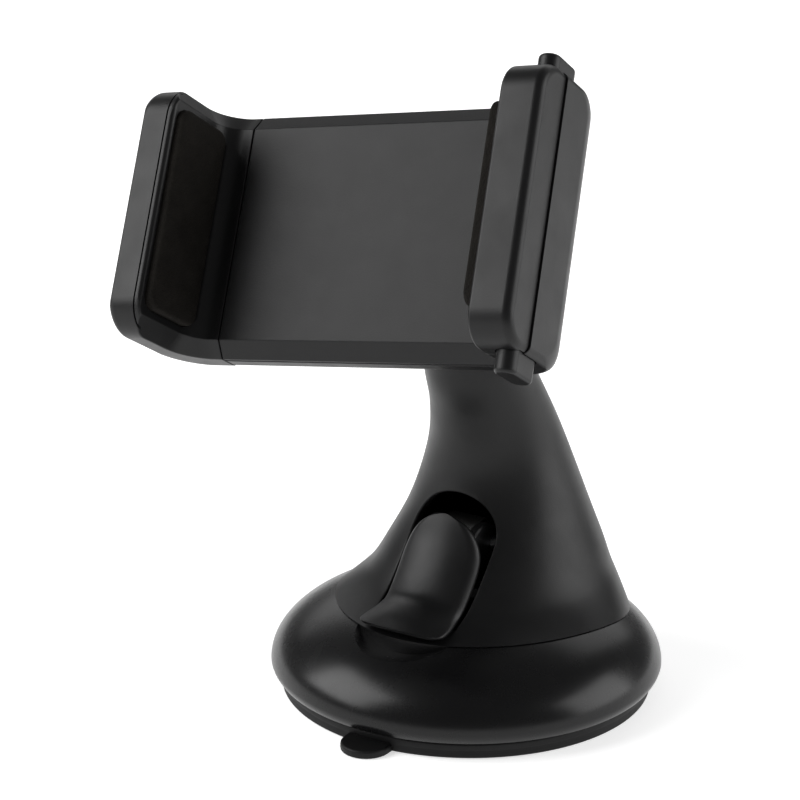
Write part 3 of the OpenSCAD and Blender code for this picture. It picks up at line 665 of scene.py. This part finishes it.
def lever_ring(t):
    """One cross-section of the lever's tongue: its crowned face, rounded edges and back."""
    middle, edge = Vector(spline(LEVER_MIDDLE, t)), Vector(spline(LEVER_EDGE, t))
    ahead = Vector(spline(LEVER_MIDDLE, min(t + 0.02, 8))) - Vector(spline(LEVER_MIDDLE, max(t - 0.02, 0)))
    back = Vector((-ahead.y, ahead.x)).normalized() * -1
    if back.x < 0:
        back = -back
    thick = spline([(h,) for h in LEVER_THICK], t)[0]
    over = max(0, middle.y - LEVER_ARCH_Z)
    half = math.sqrt(max(0.6, LEVER_HALF ** 2 - over ** 2))
    flare = min(1, max(0, (t - 5) / 2))
    half += LIP_FLARE * flare * flare * (3 - 2 * flare)
    lip = max(0, t - 7.2) / 0.8
    half -= 2.2 * (1 - math.sqrt(max(0, 1 - lip ** 2)))
    r = min(thick * 0.42, half * 0.7)
    n = 14
    out = []
    for side in (1, -1):
        face = [(-side + 2 * side * k / n) for k in range(n + 1)]
        for f in face:
            x = f * (half - r)
            q = min(1, (x / LEVER_HALF) ** 2)
            p = middle.lerp(edge, q)
            if side < 0:
                p = p + back * thick
            out.append(Vector((x, p.x, p.y)))
        end = middle.lerp(edge, min(1, (half / LEVER_HALF) ** 2)) + back * (thick / 2)
        for k in (1, 2, 3, 4, 5):
            turn = math.pi * k / 6
            lean = -math.cos(turn) * side
            p = end + back * (lean * thick / 2)
            out.append(Vector((side * (half - r + r * math.sin(turn)), p.x, p.y)))
    return out


def station_at(z):
    """The station where the middle of the lever's face has this height."""
    low, high = 0.0, 3.0
    for _ in range(40):
        t = (low + high) / 2
        if spline(LEVER_MIDDLE, t)[1] > z:
            low = t
        else:
            high = t
    return low


def lock_lever():
    """The lever: a tongue, and two cheeks that each join it to a round cam on the pin."""
    arch = [LEVER_ARCH_Z + LEVER_HALF * math.cos(math.radians(5 * k)) for k in range(1, 17)]
    stations = [station_at(z) for z in arch]
    stations += [2.8 + k / 5 for k in range(23)] + [7.2 + k * 0.1 for k in range(1, 9)]
    tongue = thing("lock_lever_tongue", shell([lever_ring(min(t, 8)) for t in stations]))
    for side in (-1, 1):
        lo, hi = sorted((side * CHEEK_IN, side * CHEEK_OUT))
        web = [(-3, PIVOT_Z + 3.4, 0.6), (-7.6, 34.4, 0.3), (-9.2, 31.2, 0.3), (-11.4, 27.1, 0.3),
               (-14.2, 24.2, 0.3), (-8, 25.4, 0.8), (-4, PIVOT_Z - 6, 0.6)]
        rings = prism(web, lo + CAM_PROUD, hi - CAM_PROUD, 0.15, 0.15, 3, 2)
        add(tongue, shell([[(z, x, y) for x, y, z in r] for r in rings]))
        cam = [[(z, CAM_Y + p.x, CAM_Z + p.y) for p in disc(CAM_R - d, 72)]
               for d, z in [(0.3, lo), (0, lo + 0.3), (0, hi - 0.3), (0.3, hi)]]
        add(tongue, shell(cam))
    hole = [[(x, p.x, PIVOT_Z + p.y) for p in disc(PIN_HOLE_R, 32)] for x in (-9, 9)]
    cut(tongue, shell(hole))
    return finish_piece(tongue, TABLE, "lever", "satin_black", ["lock_lever"], 38)


# ---------- ball joint ----------

def ball_nut():
    """Collar nut with a scalloped grip."""
    box = span("ball_nut", SOCKET)
    low, high = box[0].z, box[1].z
    r = box[1].x
    count = 24
    fine = 12

    def grip(radius, depth):
        """One ring of the nut, with a scallop of the given depth between its ribs."""
        out = []
        for i in range(count * fine):
            f = (i % fine) / fine
            bite = depth * max(0.0, math.cos(2 * math.pi * (f - 0.5))) ** 1.5
            a = 2 * math.pi * i / (count * fine)
            out.append(((radius - bite) * math.cos(a), (radius - bite) * math.sin(a)))
        return out

    # radius, height and depth of the scallops, up the outside and down the bore
    rows = [(r - 1.4, low, 0), (r - 0.6, low + 0.15, 0), (r - 0.15, low + 0.6, 0), (r, low + 1.3, 0),
            (r, low + 1.9, 0.15), (r, low + 2.6, 0.7), (r, low + 3.4, 0.95), (r, high - 2.4, 0.95),
            (r, high - 1.6, 0.7), (r, high - 1.1, 0.15), (r, high - 0.7, 0), (r - 0.15, high - 0.3, 0),
            (r - 0.5, high, 0), (11.9, high, 0), (11.5, high - 0.4, 0), (11.5, low + 2.3, 0),
            (11.2, low + 2, 0), (9.9, low + 1.9, 0), (9.4, low + 1.5, 0), (9.4, low + 0.5, 0), (9.9, low, 0)]
    rings = [[(x, y, z) for x, y in grip(radius, depth)] for radius, z, depth in rows]
    nut = thing("ball_collar", shell(rings, closed=True))
    return finish_piece(nut, SOCKET, "nut", "satin_black", ["ball_nut"], 40)


# ---------- cradle ----------

PLATE = span("front_plate", CRADLE)
CAP = span("right_jaw_cap", CRADLE)
ARM = span("left_arm", CRADLE)
HALF_H = PLATE[1].y
HALF_JAW = CAP[1].y
PLATE_END = PLATE[1].x
JAW_OUT = CAP[1].x - 0.4
JAW_DEPTH = CAP[1].z
JAW_SPLIT = CAP[0].z
BACK = ARM[0].z
WALL = 1.6
FLOOR = BACK + WALL
BEVEL = 3.2
BEVEL_DROP = 2.4
SKIRT = -3.0
SEAM = 0.6
EDGE_R = 1.9
JAW_REAR_R = 4.5
GAP = PLATE[0].x
PARTING = 0.15
INNER_EDGE = 0.7
OUTER_EDGE = 1.7
FRONT_CORNER = 6.0
REAR_ARC = 8.6
BUTTON_U = 67.2
BUTTON_W = 7.8
BUTTON_T = 4.2
BUTTON_H = 9.6
BOSS_U = (6, 57.5)
BOSS_V = (-20.7, 20.7)
JAW_SCREW_V = 12
JAW_SCREW_W = 12.6


def front_plate():
    """The cover that the phone lies on: a flat face, two long bevels and four screw bosses."""
    flat = HALF_H - BEVEL
    side = [(flat, 0, 0.6), (-flat, 0, 0.6), (-HALF_H, -BEVEL_DROP, 0.35), (-HALF_H, SKIRT, 0.12),
            (WALL - HALF_H, SKIRT, 0.12), (WALL - HALF_H, -BEVEL_DROP, 0.12), (0.8 - flat, -1.8, 0.12),
            (flat - 0.8, -1.8, 0.12), (HALF_H - WALL, -BEVEL_DROP, 0.12), (HALF_H - WALL, SKIRT, 0.12),
            (HALF_H, SKIRT, 0.12), (HALF_H, -BEVEL_DROP, 0.35)]
    plate = thing("front_plate_skin", shell(along_u(prism(side, GAP, PLATE_END, 0.16, 0.05, 4, 3))))
    for u in BOSS_U:
        for v in BOSS_V:
            boss = [[(u + p.x, v + p.y, w) for p in disc(1.9, 32)] for w in (FLOOR + 0.02, -1.9)]
            add(plate, shell(boss))
    return finish_piece(plate, CRADLE, "cradle", "soft_touch", ["front_plate"], 38)


def stadium(grow):
    """A button's outline on the jaw's end, grown by a clearance."""
    r = BUTTON_T / 2 + grow
    half = BUTTON_H / 2 + grow
    return [(BUTTON_U + i * r, BUTTON_W + j * half, r - 0.01) for i, j in SQUARE]


def button_hole(side):
    """The tool that opens a jaw's end wall for a button."""
    lo, hi = sorted((side * (HALF_JAW - 7), side * (HALF_JAW + 5)))
    return shell(along_v(prism(stadium(0.22), lo, hi, 0.05, 0.05, 10, 1)))


def right_jaw_cap():
    """The front half of the right jaw, hollow, with holes for its buttons and two screws."""
    corners = [(HALF_JAW, JAW_SPLIT, 0.2), (HALF_JAW, JAW_DEPTH, FRONT_CORNER),
               (-HALF_JAW, JAW_DEPTH, FRONT_CORNER), (-HALF_JAW, JAW_SPLIT, 0.2)]
    rings = prism(corners, PLATE_END, JAW_OUT, INNER_EDGE, OUTER_EDGE, 12, 6, firm=(3,))
    cap = thing("right_jaw_front", shell(along_u(rings)))
    hollow = inset([(HALF_JAW, JAW_SPLIT - 2, 1.8), (HALF_JAW, JAW_DEPTH, FRONT_CORNER),
                    (-HALF_JAW, JAW_DEPTH, FRONT_CORNER), (-HALF_JAW, JAW_SPLIT - 2, 1.8)], WALL)
    cut(cap, shell(along_u(prism(hollow, PLATE_END + WALL, JAW_OUT - WALL, 0.3, 0.6, 8, 2))),
        button_hole(1), button_hole(-1))
    for side in (-1, 1):
        cut(cap, shell([[(u, side * JAW_SCREW_V + p.x, JAW_SCREW_W + p.y) for p in disc(1.8, 32)]
                        for u in (61, 62.8)]))
    return finish_piece(cap, CRADLE, "cradle", "satin_black", ["right_jaw_cap"], 35)


def jaw_rings(thin, top):
    """Rings of the jaw's rear half along u, thinned by a wall; its outer rear edge is an arc."""
    rings = []
    stations = [(PLATE_END + thin, 0)] if thin else [(PLATE_END + z, d) for d, z in quarter(INNER_EDGE, 4)]
    arc_r = REAR_ARC - thin
    for k in range(1, 25):
        u = PLATE_END + arc_r * math.sin(math.radians(90 * k / 24))
        if u <= stations[-1][0] + 0.05:
            continue
        deep = max(0, u - (PLATE_END + arc_r - OUTER_EDGE)) / OUTER_EDGE
        stations.append((u, OUTER_EDGE * (1 - math.sqrt(max(0, 1 - deep ** 2)))))
    for u, d in stations:
        back = BACK + REAR_ARC - math.sqrt(max(0, arc_r ** 2 - (u - PLATE_END) ** 2))
        half = HALF_JAW - thin - d
        corners = [(half, back, JAW_REAR_R - thin), (half, top, 0.2), (-half, top, 0.2),
                   (-half, back, JAW_REAR_R - thin)]
        rings.append([(u, p.x, p.y) for p in rounded(corners, 8)])
    return rings


def rear_housing():
    """The tray behind the plate with its rail guides, and the rear half of the right jaw."""
    inner = HALF_H - WALL
    tray = [(HALF_H, SKIRT - SEAM, 0.2), (inner + SEAM, SKIRT - SEAM, 0.05), (inner + SEAM, SKIRT, 0.05),
            (inner, SKIRT, 0.05), (inner, FLOOR, 0.4), (-inner, FLOOR, 0.4), (-inner, SKIRT, 0.05),
            (-inner - SEAM, SKIRT, 0.05), (-inner - SEAM, SKIRT - SEAM, 0.05), (-HALF_H, SKIRT - SEAM, 0.2),
            (-HALF_H, BACK, EDGE_R), (HALF_H, BACK, EDGE_R)]
    housing = thing("cradle_back", shell(along_u(prism(tray, GAP, PLATE_END + 1.2, 0.16, 0.02, 6, 3))))
    add(housing, shell(jaw_rings(0, JAW_SPLIT - PARTING)))
    cut(housing, shell(jaw_rings(WALL, JAW_SPLIT + 2)),
        block((PLATE_END - 3, PLATE_END + WALL + 0.2), (-inner, inner), (FLOOR, -1.8), 0.05))
    low = FLOOR - 0.3
    wall = [(20.5, -2, 0.1), (-20.5, -2, 0.1), (-20.5, low, 0.1), (-17.3, low, 0.1), (-17.3, -3, 0.1),
            (-11.7, -3, 0.1), (-11.7, low, 0.1), (11.7, low, 0.1), (11.7, -3, 0.1), (17.3, -3, 0.1),
            (17.3, low, 0.1), (20.5, low, 0.1)]
    add(housing, shell(along_u(prism(wall, GAP, GAP + WALL, 0.08, 0.08, 2, 1))),
        block((63.8, 66.6), (-1.5, 1.5), (FLOOR - 0.3, 3)))
    cut(housing, button_hole(1), button_hole(-1))
    for u in BOSS_U:
        for v in BOSS_V:
            profile = [(2.15, BACK - 0.5), (2.15, BACK), (1.9, BACK + 0.25), (1.9, BACK + 1.1),
                       (1.0, BACK + 1.1), (1.0, BACK + 3)]
            cut(housing, shell([[(u + p.x, v + p.y, w) for p in disc(r, 32)] for r, w in profile]))
    return finish_piece(housing, CRADLE, "cradle", "satin_black", ["rear_housing"], 35)


# ---------- sliding arm ----------

SPRING_SEAT = 1.52
ARM_IN = -6.0
ARM_OUT = ARM[0].x - 0.6
ARM_ARC = 9.0
ARM_FILLET = 4.5
ARM_CORNER = 6.5
ARM_EDGE = 1.3
PAD_RECESS = 0.5


def arm_thickness(p, n):
    """Distance from an inner point along n to the arm's outer outline: back, rear arc or side."""
    centre = Vector((ARM_OUT + ARM_ARC, BACK + ARM_ARC))
    if n.y < -1e-6:
        t = (BACK - p.y) / n.y
        if p.x + t * n.x >= centre.x:
            return t
    q = p - centre
    b = q.dot(n)
    t = -b + math.sqrt(max(0, b * b - q.dot(q) + ARM_ARC ** 2))
    if (p + n * t).y <= centre.y:
        return t
    return (ARM_OUT - p.x) / n.x


def arm_ring(p, n, half, thick, pull=0.0):
    """Cross-section of the arm across its width: p is the inner face's middle, n points outwards
    and pull rounds the jaw's free end."""
    start = min(HALF_H - BEVEL, half - 0.5)
    drop = max(BEVEL_DROP * (half - start) / BEVEL, 0.35)
    t1 = thick - pull
    corners = [(-start, pull, 0.5), (start, pull, 0.5), (half, max(drop, pull + 0.3), 0.5),
               (half, t1, ARM_EDGE), (-half, t1, ARM_EDGE), (-half, max(drop, pull + 0.3), 0.5)]
    return [(p.x + n.x * depth, v, p.y + n.y * depth) for v, depth in rounded(corners, 6)]


def left_arm():
    """The sliding jaw: foot, fillet and upright wall in one sweep, with its recess and rails."""
    rings = []
    joint_edge = 0.16
    for k in range(4):
        turn = math.radians(90 * k / 3)
        d = joint_edge * (1 - math.sin(turn))
        u = -joint_edge * (1 - math.cos(turn))
        rings.append(arm_ring(Vector((u, -d)), Vector((0, -1)), HALF_H - d, -BACK - 2 * d))
    for u in (-0.8, -1.5):
        rings.append(arm_ring(Vector((u, 0)), Vector((0, -1)), HALF_H, -BACK))
    for k in range(1, 17):
        turn = math.radians(90 * k / 16)
        n = Vector((-math.sin(turn), -math.cos(turn)))
        p = Vector((ARM_IN + ARM_FILLET, ARM_FILLET)) + n * ARM_FILLET
        rings.append(arm_ring(p, n, HALF_H, arm_thickness(p, n)))
    n = Vector((-1, 0))
    thick = ARM_IN - ARM_OUT
    top = JAW_DEPTH - ARM_CORNER
    for w in (7, 9.5):
        rings.append(arm_ring(Vector((ARM_IN, w)), n, HALF_H, thick))
    edge = 0.9
    for k in range(25):
        turn = math.radians(90 * k / 24)
        w = top + ARM_CORNER * math.sin(turn)
        half = HALF_H - ARM_CORNER * (1 - math.cos(turn))
        deep = max(0, w - (JAW_DEPTH - edge)) / edge
        pull = edge * (1 - math.sqrt(max(0, 1 - deep ** 2)))
        rings.append(arm_ring(Vector((ARM_IN, w)), n, half, thick, pull))
    arm = thing("arm_jaw", shell(rings))
    recess = [(19.7, 1.4, 2.7), (19.7, 16.6, 2.7), (-19.7, 16.6, 2.7), (-19.7, 1.4, 2.7)]
    wall = [(0.1, -0.5), (0, -0.4), (0, 0.9), (-0.05, 1.1), (-0.14, 1.3), (-0.25, 1.48), (-0.3, 1.7),
            (-0.3, 9)]
    cut(arm, shell([[(ARM_IN + u, p.x, p.y) for p in rounded(inset(recess, d), 6)] for d, u in wall]))
    groove(arm)
    for side in (-1, 1):
        add(arm, shell(rail(side)))
    add(arm, block((52, 55), (-13.2, 13.2), (-6.1, -5.0)), block((52, 53.2), (-1, 1), (-5.2, -2.9)))
    return finish_piece(arm, CRADLE, "arm", "satin_black", ["left_arm"], 32)


def groove(arm):
    """The parting line between the jaw's outer shell and the frame of its pad, around the jaw."""
    at, width, deep = ARM_IN - 1.25, 0.35, 0.6
    r = ARM_CORNER
    big = [(HALF_H + 3, 3.2, 0.1), (HALF_H + 3, JAW_DEPTH + 3, r + 3), (-HALF_H - 3, JAW_DEPTH + 3, r + 3),
           (-HALF_H - 3, 3.2, 0.1)]
    small = [(HALF_H - deep, 0, 0.1), (HALF_H - deep, JAW_DEPTH - deep, r - deep),
             (-HALF_H + deep, JAW_DEPTH - deep, r - deep), (-HALF_H + deep, 0, 0.1)]
    line = thing("tool", shell(along_u(prism(big, at - width, at, 0.02, 0.02, 12, 1))))
    combine(line, thing("tool", shell(along_u(prism(small, at - 2, at + 2, 0.02, 0.02, 12, 1)))))
    combine(arm, line)


def rail(side):
    """One rail of the arm, with ratchet teeth towards the middle and a stop lug."""
    pitch, first, teeth, tooth = 2.5, 6, 19, 1
    start, end, lug, low, high = -2, 55, 51.4, -6.1, -3.3
    inner, outer, lug_out = 13, 17, 18.2
    out = [(start, inner)]
    for i in range(teeth):
        u = first + i * pitch
        out += [(u, inner), (u + 0.3, inner - tooth), (u + pitch - 0.2, inner)]
    out += [(end, inner), (end, lug_out), (lug, lug_out), (lug, outer), (start, outer)]
    return [[(u, side * v, w) for u, v in out] for w in (low, high)]


def pad(name, u0, u1, v0, v1, w0, w1, body, node, soft_side):
    """A foam pad with a soft, slightly crowned face towards +u or -u."""
    corner, edge, crown = 2.5, 0.75, 0.22
    corners = [(v, w, corner) for v, w in [(v1, w0), (v1, w1), (v0, w1), (v0, w0)]]
    rings = prism(corners, 0, u1 - u0, 0.1, edge, 8, 5, crown=crown)
    if soft_side > 0:
        rings = [[(u0 + z, x, y) for x, y, z in r] for r in rings]
    else:
        rings = [[(u1 - z, x, y) for x, y, z in r] for r in rings]
    obj = thing(name, shell(rings))
    finish_piece(obj, CRADLE, body, "foam", [node], 50)


# ---------- release buttons ----------

def release_slider(side, name, body, node, proud):
    """A push button in the jaw's end with its web, finger and pawl."""
    end = HALF_JAW + proud
    lo, hi = sorted((side * (HALF_JAW - 3), side * end))
    e0, e1 = (0.1, 0.75) if side > 0 else (0.75, 0.1)
    obj = thing(name, shell(along_v(prism(stadium(0), lo, hi, e0, e1, 12, 5))))

    def v(a, b):
        """A range across the cradle, on this button's side."""
        return tuple(sorted((side * a, side * b)))

    add(obj, block((64.2, 66.4), v(19, 23.5), (2.4, 8)), block((64.2, 66.2), v(8.6, 22.5), (-4.7, 2.6)),
        block((27, 66.2), v(8.6, 10.6), (-4.7, -2.1)), block((27.2, 28.6), v(10.4, 11.7), (-4.7, -3.5)))
    return finish_piece(obj, CRADLE, body, "satin_black", [node], 40)


# ---------- springs ----------

COIL_R = 1.2
WIRE_R = 0.3


def coil(r, wire, length, turns, per_turn=20):
    """Rings of a coil spring along +x."""
    rings = []
    section = [2 * math.pi * k / 8 for k in range(8)]
    for i in range(turns * per_turn + 1):
        a = 2 * math.pi * i / per_turn
        x = wire + (length - 2 * wire) * i / (turns * per_turn)
        rings.append([(x + wire * math.sin(b), (r + wire * math.cos(b)) * math.cos(a),
                       (r + wire * math.cos(b)) * math.sin(a)) for b in section])
    return rings


def arm_spring():
    """The extension spring that opens the jaws, which shortens as the arm moves out; this coil keeps one
    length on the cradle.
    """
    start, end = span("arm_spring", CRADLE)
    rings = coil(COIL_R, WIRE_R, end.x - start.x, 24)
    middle = (start + end) / 2
    spring = thing("arm_coil", shell([[(start.x + x, middle.y + y, middle.z + z) for x, y, z in r]
                                      for r in rings]))
    finish_piece(spring, CRADLE, "cradle", "steel", ["arm_spring"], 60)
    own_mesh(spring)


def release_spring(side, joint):
    """A button's return spring, between the housing's rib and the button's finger."""
    end = span("release_springs", CRADLE)[1]
    length = end.y - SPRING_SEAT
    rings = coil(COIL_R, WIRE_R, length, 5)
    spring = thing("button_coil_" + joint.split("_")[0],
                   shell([[(end.x - 1.5 + y, side * (SPRING_SEAT + x), z) for x, y, z in r] for r in rings]))
    finish_piece(spring, CRADLE, "cradle", "steel", ["release_springs"], 60)
    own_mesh(spring)


# ---------- build ----------

base_ring()
suction_cup()
cup_dome()
neck_shell()
lock_lever()
ball_nut()
front_plate()
right_jaw_cap()
rear_housing()
left_arm()
pad("arm_pad", ARM_IN - PAD_RECESS, ARM_IN + 1.6, -19.5, 19.5, 1.6, 16.4, "arm", "left_pad", 1)
pad("jaw_pad", PLATE_END - 2.8, PLATE_END + 0.1, -18.2, 19, 1.4, 15.4, "cradle", "right_pad", -1)
release_slider(1, "button_top", "button_upper", "release_slider_upper", 2.6)
release_slider(-1, "button_bottom", "button_lower", "release_slider_lower", 3.9)
arm_spring()
release_spring(1, "upper_button_press")
release_spring(-1, "lower_button_press")

# CAD nodes that stay take their slot's material
KEPT = {
    "base_plate": "satin_black", "base_screws": "steel", "pull_stem": "nylon", "lever_pin": "steel",
    "cup_spring": "steel", "ball_stud": "satin_black", "stud_circlip": "steel", "socket_liner": "nylon",
    "ball_socket": "satin_black", "socket_screws": "steel", "housing_screws": "steel", "jaw_screws": "steel",
}
for node, slot_name in KEPT.items():
    part = frame["nodes"][node]
    part.data.materials.clear()
    part.data.materials.append(MATERIAL[slot_name])

# ---------- stage ----------

def area_light(name, at, aim, size, power):
    light = bpy.data.lights.new(name, "AREA")
    light.shape = "RECTANGLE"
    light.size, light.size_y = size
    light.energy = power
    light.color = (1, 1, 1)
    obj = bpy.data.objects.new(name, light)
    obj.location = at
    obj.rotation_euler = (Vector(aim) - Vector(at)).to_track_quat("-Z", "Y").to_euler()
    bpy.context.scene.collection.objects.link(obj)


def studio_piece(name, verts, faces, look, glow):
    """A sheet of the studio that glows enough to stay pale beside the black object."""
    mesh = bpy.data.meshes.new(name)
    mesh.from_pydata(verts, [], faces)
    obj = bpy.data.objects.new(name, mesh)
    bpy.context.scene.collection.objects.link(obj)
    m, _, shader = new_material(name + "_paper", *look)
    shader.inputs["Emission Color"].default_value = (1, 1, 1, 1)
    shader.inputs["Emission Strength"].default_value = glow
    obj.data.materials.append(m)
    return obj


# Sizes in metres. The floor lies just under the cup. The backdrop is as pale as the distant floor:
# it only closes the view and lights nothing.
FLOOR_HALF, FLOOR_Z, FLOOR_GLOW = 20.0, -0.0001, 0.6
BACKDROP_R, BACKDROP_LOW, BACKDROP_HIGH, BACKDROP_GLOW, BACKDROP_SIDES = 6.0, -1, 6.0, 0.744, 96

corners = [(i * FLOOR_HALF, j * FLOOR_HALF, FLOOR_Z) for i, j in SQUARE]
studio_piece("floor", corners, [(0, 1, 2, 3)], ((0.9, 0.9, 0.9), 0.9, 0.2), FLOOR_GLOW)
verts, faces = shell([[(p.x, p.y, z) for p in disc(BACKDROP_R, BACKDROP_SIDES)]
                      for z in (BACKDROP_LOW, BACKDROP_HIGH)])
wall = studio_piece("backdrop", verts, faces[:BACKDROP_SIDES], ((0, 0, 0), 1.0, 0.0), BACKDROP_GLOW)
wall.visible_diffuse = wall.visible_glossy = wall.visible_transmission = wall.visible_shadow = False

world = bpy.data.worlds.new("studio")
bpy.context.scene.world = world
world.use_nodes = True
sky = world.node_tree.nodes["Background"]
sky.inputs["Color"].default_value = (1, 1, 1, 1)
sky.inputs["Strength"].default_value = 0.16

# Soft boxes as place, target, size in metres and power in watts
OBJECT_MIDDLE = (0, 0, 0.06)
area_light("left_box", (-0.96, -0.75, 0.84), OBJECT_MIDDLE, (1.1, 1.0), 18)
area_light("right_box", (1.2, 0.6, 0.5), OBJECT_MIDDLE, (1.1, 0.95), 11)
area_light("back_wash", (-1.2, 1.85, 1.0), (-1.2, 1.85, 0), (3, 2), 20)

camera = bpy.data.cameras.new("camera")
camera.lens = 99.8
camera.sensor_width = 36
camera_object = bpy.data.objects.new("camera", camera)
camera_object.location = (0.21776, -0.36021, 0.19020)
camera_object.rotation_euler = (math.radians(72.783), 0, math.radians(33))
bpy.context.scene.collection.objects.link(camera_object)
bpy.context.scene.camera = camera_object
bpy.context.scene.view_settings.view_transform = "Standard"
